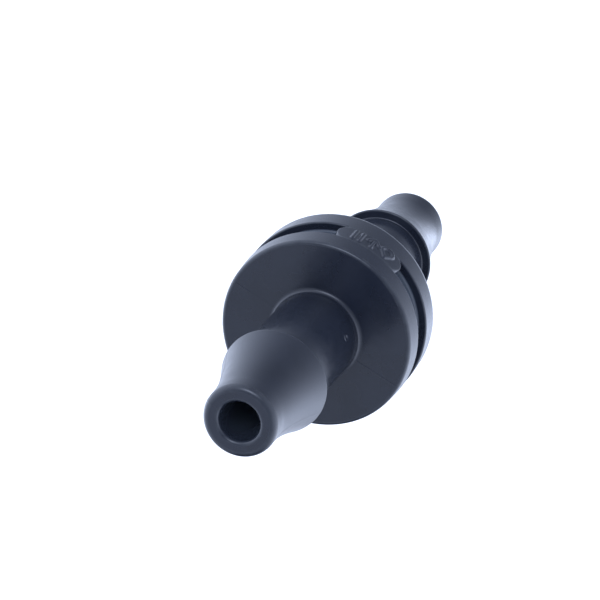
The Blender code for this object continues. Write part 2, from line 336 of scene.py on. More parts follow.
# %% The moulded plastic's recipe
def moulded(name, dark, pale, rough, grain_size, grain_depth, ior=1.49, rubbed=None, dust_and_light_colour=None):
    """Plastic whose colour, gloss and grain all vary; sizes in metres."""
    material = bpy.data.materials.new(name)
    material.use_nodes = True
    tree = material.node_tree
    shader = tree.nodes["Principled BSDF"]
    shader.inputs["IOR"].default_value = ior
    place = node(tree, "ShaderNodeTexCoord", (-1400, 0)).outputs["Object"]
    flow = noise(tree, place, 1.0 / (2.6 * MM), 3.0, (-1150, 300))
    bloom = noise(tree, place, 1.0 / (0.55 * MM), 4.0, (-1150, 60))
    grain = noise(tree, place, 1.0 / grain_size, 3.0, (-1150, -220))
    colour = mixed(tree, mapped(tree, flow, 0.0, 1.0, (-900, 300)), dark, pale, (-650, 300))
    if rubbed:
        edge = node(tree, "ShaderNodeAttribute", (-1150, 560), attribute_name="rub")
        worn = node(tree, "ShaderNodeMath", (-900, 560), operation="MULTIPLY")
        tree.links.new(edge.outputs["Fac"], worn.inputs[0])
        tree.links.new(mapped(tree, bloom, 0.15, 1.0, (-900, 100)), worn.inputs[1])
        colour = mixed(tree, worn.outputs[0], colour, rubbed, (-420, 400))
    # A paler colour, partly dust and partly painted light, is mixed in deep in the bore and on the groove's
    # floor.
    if dust_and_light_colour:
        dust_and_light = node(tree, "ShaderNodeAttribute", (-650, 560), attribute_name="dust_and_light")
        colour = mixed(tree, dust_and_light.outputs["Fac"], colour, dust_and_light_colour, (-220, 400))
    tree.links.new(colour, shader.inputs["Base Color"])
    gloss = mapped(tree, bloom, rough - 0.035, rough + 0.045, (-650, 60))
    tree.links.new(gloss, shader.inputs["Roughness"])
    bump = node(tree, "ShaderNodeBump", (-420, -220))
    bump.inputs["Strength"].default_value = 1.0
    bump.inputs["Distance"].default_value = grain_depth
    tree.links.new(grain, bump.inputs["Height"])
    tree.links.new(bump.outputs["Normal"], shader.inputs["Normal"])
    return material


shell_black = moulded(
    "shell_black",
    dark=(0.0080, 0.0105, 0.0175),
    pale=(0.0115, 0.0145, 0.0235),
    rough=0.21,
    grain_size=0.055 * MM,
    grain_depth=0.0012 * MM,
    rubbed=(0.020, 0.024, 0.032),
    # The paler grey is partly dust and partly painted light in the bore and on the groove's floor.
    dust_and_light_colour=(0.20, 0.24, 0.30),
)
print("made", shell_black.name)

# %% [markdown]
# ## Outlines
# Every piece here is turned about the bore's axis, so one half outline says it all.  An outline is a
# list of corners, each with the radius of its rounding.  A helper swaps each corner for an arc and
# sets one extra point on the straight just beside it.  Those extra points keep flat faces flat when
# the shading is smooth, as holding edges do in hand modelling.

# %% Rounded outlines
ARC_STEP = math.radians(13.0)
HOLD = 0.03 * MM


def rounded(corners, closed=True):
    """Points (x, r, rub) for corners (x, r, rounding); rub is 1 on arcs that stand proud."""
    points = []
    count = len(corners)
    turns = turning_sense(corners)
    for number, (x, r, rounding) in enumerate(corners):
        here = Vector((x, r))
        ends = number in (0, count - 1) and not closed
        if rounding == 0.0 or ends:
            points.append((x, r, 0.0))
            continue
        before = Vector(corners[number - 1][:2]) - here
        after = Vector(corners[(number + 1) % count][:2]) - here
        half = before.angle(after) / 2.0
        reach = rounding / math.tan(half)
        centre = here + (before.normalized() + after.normalized()).normalized() * (rounding / math.sin(half))
        start = here + before.normalized() * reach
        stop = here + after.normalized() * reach
        proud = 1.0 if before.cross(after) * turns > 0.0 else 0.0
        if before.length > reach + 3.0 * HOLD:
            points.append((*(start + before.normalized() * HOLD), 0.0))
        steps = max(2, math.ceil((math.pi - 2.0 * half) / ARC_STEP))
        first = start - centre
        swing = first.angle_signed(stop - centre)
        for step in range(steps + 1):
            spoke = Matrix.Rotation(-swing * step / steps, 2) @ first
            points.append((*(centre + spoke), proud))
        if after.length > reach + 3.0 * HOLD:
            points.append((*(stop + after.normalized() * HOLD), 0.0))
    return points


def turning_sense(corners):
    """+1 or -1: which way round the outline runs, from its signed area."""
    area = 0.0
    for (x0, r0, _), (x1, r1, _) in zip(corners, corners[1:] + corners[:1]):
        area += x0 * r1 - x1 * r0
    return -1.0 if area > 0.0 else 1.0


def stretch(start, stop, spacing):
    """Plain points strictly between two places, no further apart than the spacing."""
    start = Vector(start)
    stop = Vector(stop)
    steps = max(1, math.ceil((stop - start).length / spacing))
    return [(*start.lerp(stop, step / steps), 0.0) for step in range(1, steps)]


# %% [markdown]
# ## The barb
# A barb for soft tube has a short straight nose, then a flare that stretches the tube, and a sharp
# shoulder behind it that the tube closes on.  The flare opens slowly and then runs nearly straight
# to the shoulder, like the mouth of a trumpet.  A power curve a little under a square says that.

# %% Barb outline
FLARE_STEPS = 26


def barb_corners():
    """From the bore's mouth to the foot of the shoulder, as (distance from the tip, r, rounding)."""
    corners = [(0.0, BORE_RADIUS, MOUTH_ROUND), (0.0, TIP_RADIUS, LIP_ROUND)]
    shoulder = TIP_X - SHOULDER_X
    for step in range(FLARE_STEPS):
        share = step / FLARE_STEPS
        radius = TIP_RADIUS + (BARB_RADIUS - TIP_RADIUS) * share**FLARE_POWER
        corners.append((BARB_STRAIGHT + (shoulder - BARB_STRAIGHT) * share, radius, 0.0))
    corners.append((shoulder, BARB_RADIUS, SHOULDER_ROUND))
    corners.append((shoulder, NECK_RADIUS, SHOULDER_ROUND))
    return corners


print("barb corners:", len(barb_corners()))

# %% [markdown]
# ## Turning with Geometry Nodes
# The lathe is a small node tree.  Its input is the outline; a ring of spokes, another small object,
# says at which angles the outline is repeated.  Curve to Mesh carries the outline round the ring.
# After that, one Set Position raises the thin flash line that the two mould halves leave where they
# meet.  A tree is chosen over a Screw modifier because the spokes may crowd where detail is needed.

# %% The turning tree
def build_turning_tree():
    tree = bpy.data.node_groups.new("turned_about_the_bore", "GeometryNodeTree")
    face = tree.interface
    face.new_socket("Outline", in_out="INPUT", socket_type="NodeSocketGeometry")
    face.new_socket("Spokes", in_out="INPUT", socket_type="NodeSocketObject")
    face.new_socket("Flash Height", in_out="INPUT", socket_type="NodeSocketFloat")
    face.new_socket("Flash Width", in_out="INPUT", socket_type="NodeSocketFloat")
    face.new_socket("Plastic", in_out="INPUT", socket_type="NodeSocketMaterial")
    face.new_socket("Shell", in_out="OUTPUT", socket_type="NodeSocketGeometry")
    link = tree.links.new
    given = node(tree, "NodeGroupInput", (-1200, 0))
    ring = node(tree, "GeometryNodeObjectInfo", (-950, -200))
    ring_curve = node(tree, "GeometryNodeMeshToCurve", (-700, -200))
    line_curve = node(tree, "GeometryNodeMeshToCurve", (-700, 50))
    turned = node(tree, "GeometryNodeCurveToMesh", (-450, 0))
    closed = node(tree, "GeometryNodeMergeByDistance", (-220, 0))
    closed.inputs["Distance"].default_value = 1e-7
    link(given.outputs["Spokes"], ring.inputs["Object"])
    link(ring.outputs["Geometry"], ring_curve.inputs["Mesh"])
    link(given.outputs["Outline"], line_curve.inputs["Mesh"])
    link(ring_curve.outputs["Curve"], turned.inputs["Curve"])
    link(line_curve.outputs["Curve"], turned.inputs["Profile Curve"])
    link(turned.outputs["Mesh"], closed.inputs["Geometry"])
    # The flash stands where the parting plane, z = 0, cuts the surface.
    spot = node(tree, "GeometryNodeInputPosition", (-950, -450))
    parts = node(tree, "ShaderNodeSeparateXYZ", (-780, -450))
    away = node(tree, "ShaderNodeMath", (-600, -450), operation="ABSOLUTE")
    fade = node(tree, "ShaderNodeMapRange", (-420, -450), interpolation_type="SMOOTHSTEP")
    fade.inputs["From Min"].default_value = 0.0
    push = node(tree, "ShaderNodeVectorMath", (-40, -400), operation="SCALE")
    normal = node(tree, "GeometryNodeInputNormal", (-220, -300))
    raised = node(tree, "GeometryNodeSetPosition", (160, 0))
    link(spot.outputs["Position"], parts.inputs["Vector"])
    link(parts.outputs["Z"], away.inputs[0])
    link(away.outputs[0], fade.inputs["Value"])
    link(given.outputs["Flash Width"], fade.inputs["From Max"])
    link(given.outputs["Flash Height"], fade.inputs["To Min"])
    fade.inputs["To Max"].default_value = 0.0
    link(normal.outputs["Normal"], push.inputs[0])
    link(fade.outputs["Result"], push.inputs["Scale"])
    link(closed.outputs["Geometry"], raised.inputs["Geometry"])
    link(push.outputs["Vector"], raised.inputs["Offset"])
    real = node(tree, "GeometryNodeRealizeInstances", (340, 0))
    painted = node(tree, "GeometryNodeSetMaterial", (520, 0))
    result = node(tree, "NodeGroupOutput", (700, 0))
    link(raised.outputs["Geometry"], real.inputs["Geometry"])
    link(real.outputs["Geometry"], painted.inputs["Geometry"])
    link(given.outputs["Plastic"], painted.inputs["Material"])
    link(painted.outputs["Geometry"], result.inputs["Shell"])
    return tree


def set_inputs(modifier, values):
    """Give a modifier its inputs by the identifiers of the tree's named sockets."""
    for item in modifier.node_group.interface.items_tree:
        if item.item_type == "SOCKET" and item.in_out == "INPUT" and item.name in values:
            modifier[item.identifier] = values[item.name]


turning_tree = build_turning_tree()
print("turning tree has", len(turning_tree.nodes), "nodes")

# %% [markdown]
# The spokes are spaced by zones: wide where nothing happens, close under the pad and beside the
# parting line.  The lathe then turns an outline, bakes the result into a plain mesh, puts every vertex
# exactly on its spoke, and makes sure by the sign of its volume that the faces look outwards.

# %% Space the spokes
NARROWEST_STEP = 0.12


def spoke_angles(zones, wide):
    """Angles in degrees, once round; each zone is (middle, half width, step)."""
    angles = set()
    for middle, half, step in zones:
        steps = round(half / step)
        angles |= {round((middle + step * number) % 360.0, 4) for number in range(-steps, steps + 1)}
    free = 0.0
    while free < 360.0:
        clear = all(abs((free - middle + 180.0) % 360.0 - 180.0) > half for middle, half, _ in zones)
        if clear:
            angles.add(round(free, 4))
        free += wide
    ordered = sorted(angles)
    kept = [ordered[0]]
    for angle in ordered[1:]:
        if angle - kept[-1] > NARROWEST_STEP:
            kept.append(angle)
    return kept


print("spokes without zones, 3 degrees apart:", len(spoke_angles([], 3.0)))

# %% Lines that carry values, and where the dust and painted light lie
# Deep in the bore and on the groove's floor the colour is painted paler, partly dust and partly painted
# light.
BORE_DEPTH_OF_DUST_AND_LIGHT = 2.2 * MM
BORE_DUST_AND_LIGHT_POWER = 1.3
GROOVE_DUST_AND_LIGHT = 0.17
GROOVE_DEPTH_OF_DUST_AND_LIGHT = 0.3 * MM


def line_object(name, points, closed, attributes):
    """A chain of edges whose points carry the named values."""
    mesh = bpy.data.meshes.new(name)
    edges = [(number, number + 1) for number in range(len(points) - 1)]
    if closed:
        edges.append((len(points) - 1, 0))
    mesh.from_pydata(points, edges, [])
    for label, values in attributes.items():
        mesh.attributes.new(label, "FLOAT", "POINT").data.foreach_set("value", values)
    item = bpy.data.objects.new(name, mesh)
    bpy.context.collection.objects.link(item)
    return item


def dust_and_light_share(x, r):
    """How much of the paler colour, partly dust and partly painted light, lies here, from 0 to 1: deep in the
    bore and on the groove's floor.
    """
    if r < BORE_RADIUS + MOUTH_ROUND:
        return min(1.0, max(0.0, (TIP_X - abs(x)) / BORE_DEPTH_OF_DUST_AND_LIGHT)) ** BORE_DUST_AND_LIGHT_POWER
    if GROOVE_START < x < GROOVE_END and GROOVE_RADIUS - HOLD < r < CREST_RADIUS:
        return GROOVE_DUST_AND_LIGHT * min(1.0, (CREST_RADIUS - r) / GROOVE_DEPTH_OF_DUST_AND_LIGHT)
    return 0.0


# %% The lathe
def read_points(mesh):
    flat = np.empty(len(mesh.vertices) * 3)
    mesh.vertices.foreach_get("co", flat)
    return flat.reshape(-1, 3)


def write_points(mesh, points):
    mesh.vertices.foreach_set("co", points.reshape(-1))
    mesh.update()


def read_attribute(mesh, name):
    values = np.empty(len(mesh.vertices))
    mesh.attributes[name].data.foreach_get("value", values)
    return values


def snap_to_spokes(mesh):
    """Put every vertex exactly on its own spoke; uneven spokes tilt the swept outline a little."""
    points = read_points(mesh)
    radius = np.hypot(points[:, 1], points[:, 2])
    exact = np.radians(read_attribute(mesh, "spoke"))
    away = radius > 1e-6
    points[away, 1] = radius[away] * np.sin(exact[away])
    points[away, 2] = radius[away] * np.cos(exact[away])
    write_points(mesh, points)


FLASH = (0.010 * MM, 0.030 * MM)
NO_FLASH = (0.0, 0.020 * MM)


def turn_outline(name, outline, angles, plastic, flash=NO_FLASH, closed=True):
    """Turn an outline of (x, r, rub) about the X axis; the flash is its (height, width)."""
    ring_radius = 4.0 * MM
    ring = [
        (0.0, ring_radius * math.sin(math.radians(a)), ring_radius * math.cos(math.radians(a)))
        for a in angles
    ]
    spokes = line_object(name + "_spokes", ring, True, {"spoke": angles})
    profile = [(x, ring_radius - r, 0.0) for x, r, _ in outline]
    along_profile = {
        "station": [float(number) for number in range(len(outline))],
        "rub": [rub for _, _, rub in outline],
        "dust_and_light": [dust_and_light_share(x, r) for x, r, _ in outline],
    }
    shell = line_object(name, profile, closed, along_profile)
    modifier = shell.modifiers.new("turning", "NODES")
    modifier.node_group = turning_tree
    values = {"Spokes": spokes, "Flash Height": flash[0], "Flash Width": flash[1], "Plastic": plastic}
    set_inputs(modifier, values)
    graph = bpy.context.evaluated_depsgraph_get()
    mesh = bpy.data.meshes.new_from_object(shell.evaluated_get(graph))
    shell.modifiers.clear()
    shell.data = mesh
    bpy.data.objects.remove(spokes)
    snap_to_spokes(mesh)
    face_outwards(mesh)
    mesh.shade_smooth()
    return shell


# %% Check and hand over a finished piece
def face_outwards(mesh):
    bm = bmesh.new()
    bm.from_mesh(mesh)
    if bm.calc_volume(signed=True) < 0.0:
        bmesh.ops.reverse_faces(bm, faces=bm.faces)
    bm.to_mesh(mesh)
    bm.free()


def open_edges(mesh):
    bm = bmesh.new()
    bm.from_mesh(mesh)
    count = sum(1 for edge in bm.edges if not edge.is_manifold)
    bm.free()
    return count


def finish(piece, node_name, body):
    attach(piece, body)
    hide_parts(node_name)
    triangles = sum(len(face.vertices) - 2 for face in piece.data.polygons)
    print(piece.name, "triangles:", triangles, "open edges:", open_edges(piece.data))


# %% [markdown]
# ## The cup
# The cup carries the inlet barb, the disc face, the front rim, the groove and the rear rim, and
# behind them the socket, the chamber and the bore.  Its outline is walked once, outside and then
# back through the inside.  The groove's floor and walls get many points, because the pad is lifted
# out of them afterwards.

# %% Cup outline
GROOVE_SPACING = 0.035 * MM
GATE_SPACING = 0.03 * MM
GATE_X = -4.14 * MM
GATE_SPAN = 0.45 * MM


def cup_outline():
    corners = [(x - TIP_X, r, rounding) for x, r, rounding in barb_corners()]
    corners += [
        (GATE_X - GATE_SPAN, NECK_RADIUS, 0.0),
        (GATE_X + GATE_SPAN, NECK_RADIUS, 0.0),
        (FACE_FRONT_X, NECK_RADIUS, NECK_FILLET),
        (FACE_FRONT_X, RIM_RADIUS, FACE_ROUND),
        (GROOVE_START, CREST_RADIUS, GROOVE_EDGE),
        (GROOVE_START, GROOVE_RADIUS, GROOVE_ROOT),
        (GROOVE_END, GROOVE_RADIUS, GROOVE_ROOT),
        (GROOVE_END, CREST_RADIUS, GROOVE_EDGE),
        (FACE_REAR_X, RIM_RADIUS, REAR_ROUND),
        (FACE_REAR_X, SOCKET_RADIUS, 0.04 * MM),
        (SNAP_X + SNAP_HALF, SOCKET_RADIUS, 0.0),
        (SNAP_X, SOCKET_RADIUS + SNAP_HEIGHT, 0.0),
        (SNAP_X - SNAP_HALF, SOCKET_RADIUS, 0.0),
        (STEP_X, SOCKET_RADIUS, 0.05 * MM),
        (STEP_X, CHAMBER_RADIUS, 0.05 * MM),
        (CHAMBER_FRONT, CHAMBER_RADIUS, 0.10 * MM),
        (CHAMBER_FRONT, BORE_RADIUS, 0.10 * MM),
    ]
    return rounded(corners)


def densify(outline, spacing, wanted):
    """Add points on every stretch longer than the spacing whose middle is wanted."""
    dense = []
    for here, there in zip(outline, outline[1:] + outline[:1]):
        dense.append(here)
        middle = ((here[0] + there[0]) / 2.0, (here[1] + there[1]) / 2.0)
        if wanted(*middle):
            dense += stretch(here[:2], there[:2], spacing)
    return dense


def in_groove(x, r):
    edge = GROOVE_EDGE + HOLD
    return GROOVE_START - edge < x < GROOVE_END + edge and r > GROOVE_RADIUS - HOLD


def near_gate(x, r):
    return abs(x - GATE_X) < GATE_SPAN and abs(r - NECK_RADIUS) < HOLD


cup_line = cup_outline()
cup_line = densify(cup_line, GROOVE_SPACING, in_groove)
cup_line = densify(cup_line, GATE_SPACING, near_gate)
print("cup outline points:", len(cup_line))

# %% Turn the cup
PAD_HALF_ANGLE = 22.5
GATE_ANGLE = -42.6
cup_zones = [
    (0.0, PAD_HALF_ANGLE + 2.0, 0.3),
    (90.0, 1.0, 0.25),
    (270.0, 1.0, 0.25),
    (360.0 + GATE_ANGLE, 9.0, 0.6),
]
cup_angles = spoke_angles(cup_zones, 2.0)
cup = turn_outline("cup_shell", cup_line, cup_angles, shell_black, FLASH)
print("spokes:", len(cup_angles), "vertices:", len(cup.data.vertices))

# %% [markdown]
# ## The pad
# The mould leaves a flush bridge across the groove, rounded at both ends, which carries the raised
# marks.  The groove's points are moved from where they are to an even spread over the pad's top.
# How far each one moves follows its distance to the pad's outline, with a quarter-round shoulder, so
# the bridge grows out of both rims with no seam, as a moulding does.

# %% Lift the pad out of the groove
PAD_CORNER = 0.80 * MM
PAD_SHOULDER = 0.13 * MM
PAD_HALF_LENGTH = math.radians(PAD_HALF_ANGLE) * RIM_RADIUS
PAD_MIDDLE_X = (GROOVE_START + GROOVE_END) / 2.0


def groove_span(outline):
    """First and last outline points that the pad may move."""
    numbers = [number for number, (x, r, _) in enumerate(outline) if in_groove(x, r)]
    return numbers[0], numbers[-1]


def pad_targets(outline):
    """For every outline point, where it lies on top of the pad: (x, r)."""
    first, last = groove_span(outline)
    targets = np.array([(x, r) for x, r, _ in outline])
    start, stop = targets[first].copy(), targets[last].copy()
    for number in range(first, last + 1):
        share = (number - first) / (last - first)
        targets[number] = start + (stop - start) * share
    return targets


def box_distance(p, q, half_p, half_q, corner):
    """Signed distance to a box with rounded corners, negative inside."""
    over_p = np.maximum(np.abs(p) - (half_p - corner), 0.0)
    over_q = np.maximum(np.abs(q) - (half_q - corner), 0.0)
    return np.hypot(over_p, over_q) - corner


points = read_points(cup.data)
station = np.rint(read_attribute(cup.data, "station")).astype(int)
angle = np.arctan2(points[:, 1], points[:, 2])
radius = np.hypot(points[:, 1], points[:, 2])
target = pad_targets(cup_line)[station]
along = angle * RIM_RADIUS
across = target[:, 0] - PAD_MIDDLE_X
half_width = (GROOVE_END - GROOVE_START) / 2.0 + GROOVE_EDGE
depth = -box_distance(along, across, PAD_HALF_LENGTH, half_width, PAD_CORNER)
share = np.clip(depth / PAD_SHOULDER, 0.0, 1.0)
lift = np.sqrt(1.0 - (1.0 - share) ** 2)
print("points lifted onto the pad:", int((lift > 0.0).sum()))

# %% [markdown]
# ## The raised marks
# Moulders put a flow arrow and a symbol on such a pad.  Here they are generic: a water drop, an
# arrow along the flow, and two short bars.  Each is a stroke round a simple shape, given by its
# distance, and the surface rises by a tenth of a millimetre where that distance is small.

# %% Distances to strokes
STROKE_HALF = 0.10 * MM
STROKE_SOFT = 0.13 * MM
MARK_HEIGHT = 0.10 * MM


def segment_distance(p, q, start, stop):
    px, qx = p - start[0], q - start[1]
    dx, dy = stop[0] - start[0], stop[1] - start[1]
    share = np.clip((px * dx + qx * dy) / (dx * dx + dy * dy), 0.0, 1.0)
    return np.hypot(px - share * dx, qx - share * dy)


def path_distance(p, q, path):
    return np.minimum.reduce([segment_distance(p, q, a, b) for a, b in zip(path, path[1:])])


# %% Draw the marks and write the cup's surface
def drop_path(middle, size, steps=14):
    """A water drop: three quarters of a circle closed by a point, which looks upstream."""
    path = [(middle[0], middle[1] - 1.55 * size)]
    for step in range(steps + 1):
        turn = math.radians(-50.0 + 280.0 * step / steps)
        path.append((middle[0] + size * math.cos(turn), middle[1] + 0.25 * size + size * math.sin(turn)))
    path.append(path[0])
    return path


def pad_marks():
    """Strokes on the pad as (along, across) paths in mm: a drop, an arrow down the flow, two bars."""
    arrow_shaft = [(-0.06, -0.50), (-0.06, 0.50)]
    arrow_head = [(-0.40, 0.12), (-0.06, 0.50), (0.28, 0.12)]
    bars = [[(place, -0.46), (place, 0.46)] for place in (0.66, 1.06)]
    return [drop_path((-0.94, 0.10), 0.36), arrow_shaft, arrow_head] + bars


distances = [path_distance(along / MM, across / MM, path) for path in pad_marks()]
mark_distance = MM * np.minimum.reduce(distances)
edge_share = np.clip((STROKE_HALF + STROKE_SOFT / 2.0 - mark_distance) / STROKE_SOFT, 0.0, 1.0)
relief = MARK_HEIGHT * edge_share * edge_share * (3.0 - 2.0 * edge_share)
new_x = points[:, 0] + (target[:, 0] - points[:, 0]) * lift
new_r = radius + (target[:, 1] + relief - radius) * lift
moved = lift > 0.0
points[moved, 0] = new_x[moved]
points[moved, 1] = new_r[moved] * np.sin(angle[moved])
points[moved, 2] = new_r[moved] * np.cos(angle[moved])
# The pad's top is cleared of the paler colour, both dust and painted light.
dust_and_light_off_pad = read_attribute(cup.data, "dust_and_light") * (1.0 - lift)
cup.data.attributes["dust_and_light"].data.foreach_set("value", dust_and_light_off_pad)
print("highest mark at radius", round(float(new_r[moved].max()) / MM, 3), "mm")

# %% [markdown]
# ## The gate mark
# The melt enters the mould through a pin gate, which leaves a small ring with a dimple on the neck,
# close to the disc.  It is only a third of a millimetre across, but it catches the light.

# %% Press the gate mark into the neck
GATE_RADIUS = 0.17 * MM
GATE_HEIGHT = 0.035 * MM
GATE_RING_WIDTH = 0.055 * MM
GATE_DIMPLE_WIDTH = 0.09 * MM
GATE_REACH = 0.5 * MM


def press_gate(points):
    """Raise the ring and sink the dimple; both fade as bell curves."""
    angle = np.arctan2(points[:, 1], points[:, 2])
    radius = np.hypot(points[:, 1], points[:, 2])
    outside = radius > (BORE_RADIUS + NECK_RADIUS) / 2.0
    side = (angle - math.radians(GATE_ANGLE)) * NECK_RADIUS
    away = np.hypot(side, points[:, 0] - GATE_X)
    ring = np.exp(-(((away - GATE_RADIUS) / GATE_RING_WIDTH) ** 2))
    dimple = np.exp(-((away / GATE_DIMPLE_WIDTH) ** 2))
    rise = np.where(outside & (away < GATE_REACH), GATE_HEIGHT * (ring - 0.8 * dimple), 0.0)
    grow = (radius + rise) / np.maximum(radius, 1e-9)
    points[:, 1] *= grow
    points[:, 2] *= grow


press_gate(points)
write_points(cup.data, points)
finish(cup, "inlet_body", "housing")

# %% [markdown]
# ## The cap
# The cap is the same barb, turned the other way, on a plug that snaps into the cup.  From behind, a
# fine round joint shows between the plug and the cup's rim.  Inside, a lip holds the seal ring, and a
# round seat stops the diaphragm.  A shallow slot across the seat meters the flow when the diaphragm
# lies on it.  It is pressed into the turned mesh: the seat's points sink by a round profile.

# %% Cap outline and shell
CAP_FRONT = cap_low.x
SEAT_X = cap_low.x
LIP_OUTER = 4.05 * MM
LIP_INNER = 3.60 * MM
SEAT_RADIUS = 1.95 * MM
SEAT_WALL = 0.45 * MM


def cap_outline():
    corners = [(TIP_X - x, r, rounding) for x, r, rounding in barb_corners()]
    corners += [
        (FACE_REAR_X, NECK_RADIUS, NECK_FILLET),
        (FACE_REAR_X, CAP_RADIUS, 0.06 * MM),
        (SNAP_X + SNAP_HALF, CAP_RADIUS, 0.0),
        (SNAP_X, CAP_RADIUS + SNAP_HEIGHT, 0.0),
        (SNAP_X - SNAP_HALF, CAP_RADIUS, 0.0),
        (CHAMBER_REAR, CAP_RADIUS, 0.04 * MM),
        (CHAMBER_REAR, LIP_OUTER, 0.04 * MM),
        (CAP_FRONT, LIP_OUTER, 0.06 * MM),
        (CAP_FRONT, LIP_INNER, 0.06 * MM),
        (CHAMBER_REAR, LIP_INNER, 0.06 * MM),
        (CHAMBER_REAR, SEAT_RADIUS, 0.06 * MM),
        (SEAT_X, SEAT_RADIUS, 0.04 * MM),
        (SEAT_X, SEAT_RADIUS - SEAT_WALL, 0.04 * MM),
        (SEAT_X + SEAT_WALL, BORE_RADIUS, 0.08 * MM),
    ]
    return rounded(corners)


def sink_metering_slot(mesh, half_width=0.15 * MM, depth=0.16 * MM):
    """Press a round-bottomed slot into the seat's face, on its +Z side; its walls are squeezed."""
    points = read_points(mesh)
    x, y, z = points.T
    radius = np.hypot(y, z)
    seat = (x < SEAT_X + SEAT_WALL) & (radius > BORE_RADIUS) & (radius < SEAT_RADIUS + HOLD)
    slot = seat & (z > 0.0) & (np.abs(y) < half_width)
    drop = depth - half_width + np.sqrt(half_width**2 - y[slot] ** 2)
    points[slot, 0] += drop * (1.0 - (x[slot] - SEAT_X) / SEAT_WALL)
    write_points(mesh, points)
    print("points sunk into the metering slot:", int(slot.sum()))


cap_zones = [(90.0, 1.0, 0.25), (270.0, 1.0, 0.25), (0.0, 7.0, 0.5)]
cap = turn_outline("cap_shell", cap_outline(), spoke_angles(cap_zones, 2.0), shell_black, FLASH)
sink_metering_slot(cap.data)
finish(cap, "outlet_cap", "housing")

# %% [markdown]
# ## The other finishes
# The insert parts are never seen from outside, but they are real pieces and get real finishes: the
# filter is grey moulded plastic, the labyrinth plate is black acetal with a duller skin, the
# diaphragm is brick-red silicone, a little mottled, and the seal ring is matte rubber.

# %% Finishes of the insert parts
screen_grey = moulded(
    "screen_grey", (0.075, 0.080, 0.090), (0.105, 0.110, 0.120), 0.42, 0.05 * MM, 0.0012 * MM
)
core_black = moulded(
    "core_black", (0.016, 0.018, 0.022), (0.024, 0.026, 0.031), 0.46, 0.05 * MM, 0.0015 * MM
)
silicone = moulded(
    "brick_silicone", (0.40, 0.085, 0.050), (0.50, 0.130, 0.085), 0.56, 0.08 * MM, 0.0020 * MM, ior=1.41
)
silicone.node_tree.nodes["Principled BSDF"].inputs["Subsurface Weight"].default_value = 0.15
silicone.node_tree.nodes["Principled BSDF"].inputs["Subsurface Scale"].default_value = 0.4 * MM
seal_rubber = moulded(
    "seal_rubber", (0.010, 0.010, 0.011), (0.017, 0.017, 0.018), 0.60, 0.06 * MM, 0.0025 * MM, ior=1.52
)
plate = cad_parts["labyrinth_plate"]
plate.data.materials.clear()
plate.data.materials.append(core_black)
print("finishes:", screen_grey.name, core_black.name, silicone.name, seal_rubber.name)

# %% [markdown]
# ## Diaphragm and seal ring
# Both are pressed from rubber, and both are turned on the same lathe.  The diaphragm is a disc with
# rounded edges and, in its middle, the dimple that its sprue leaves.  The seal ring's section is
# round, with a fine ridge inside and outside, where the two halves of its mould met.

# %% Turn the rubber pieces
def diaphragm_outline():
    front, rear = rubber_low.x, rubber_high.x
    radius = rubber_high.z
    dimple = 0.05 * MM
    corners = [
        (front, 0.0, 0.0),
        (front, radius, 0.12 * MM),
        (rear, radius, 0.12 * MM),
        (rear, 0.60 * MM, 0.05 * MM),
        (rear - dimple, 0.50 * MM, 0.05 * MM),
        (rear - dimple, 0.0, 0.0),
    ]
    return rounded(corners, closed=False)


SEAL_STEPS = 32
SEAL_RIDGE = 0.018 * MM
SEAL_RIDGE_WIDTH = 0.14


def seal_outline():
    """A round section whose ridges, inside and outside, are SEAL_RIDGE proud of it."""
    middle_x = (seal_low.x + seal_high.x) / 2.0
    section = (seal_high.x - seal_low.x) / 2.0
    middle_r = seal_high.z - section
    points = []
    for step in range(SEAL_STEPS):
        turn = math.tau * step / SEAL_STEPS
        ridge = SEAL_RIDGE * math.exp(-((math.cos(turn) / SEAL_RIDGE_WIDTH) ** 2))
        reach = section - SEAL_RIDGE + ridge
        points.append((middle_x + reach * math.cos(turn), middle_r + reach * math.sin(turn), 0.0))
    return points


even_angles = spoke_angles([], 3.0)
diaphragm = turn_outline("diaphragm_disc", diaphragm_outline(), even_angles, silicone, closed=False)
finish(diaphragm, "diaphragm", "diaphragm")
seal = turn_outline("seal_band", seal_outline(), even_angles, seal_rubber)
finish(seal, "seal_ring", "housing")

# %% [markdown]
# ## The filter screen
# The screen is a thin sheet with rows of holes inside a thicker rim.  Repeating holes are a job for
# Geometry Nodes: a staggered grid of points carries hole circles, Fill Curve turns the rim circle
# and the holes into one flat sheet, and an extrusion gives it its thickness.

# %% Sheets and circles
def sheet_from(tree, curves, thickness, lift, place):
    """A closed plate in the XY plane from curves that bound it; returns its geometry socket."""
    x, y = place
    link = tree.links.new
    fill = node(tree, "GeometryNodeFillCurve", (x, y))
    link(curves, fill.inputs["Curve"])
    raised = node(tree, "GeometryNodeTransform", (x + 180, y))
    offset = node(tree, "ShaderNodeCombineXYZ", (x, y - 180))
    link(lift, offset.inputs["Z"])
    link(offset.outputs[0], raised.inputs["Translation"])
    link(fill.outputs["Mesh"], raised.inputs["Geometry"])
    grown = node(tree, "GeometryNodeExtrudeMesh", (x + 360, y))
    grown.inputs["Individual"].default_value = False
    link(raised.outputs["Geometry"], grown.inputs["Mesh"])
    link(thickness, grown.inputs["Offset Scale"])
    under = node(tree, "GeometryNodeFlipFaces", (x + 360, y - 200))
    link(raised.outputs["Geometry"], under.inputs["Mesh"])
    both = node(tree, "GeometryNodeJoinGeometry", (x + 540, y))
    link(grown.outputs["Mesh"], both.inputs["Geometry"])
    link(under.outputs["Mesh"], both.inputs["Geometry"])
    closed = node(tree, "GeometryNodeMergeByDistance", (x + 700, y))
    closed.inputs["Distance"].default_value = 1e-7
    link(both.outputs["Geometry"], closed.inputs["Geometry"])
    return closed.outputs["Geometry"]


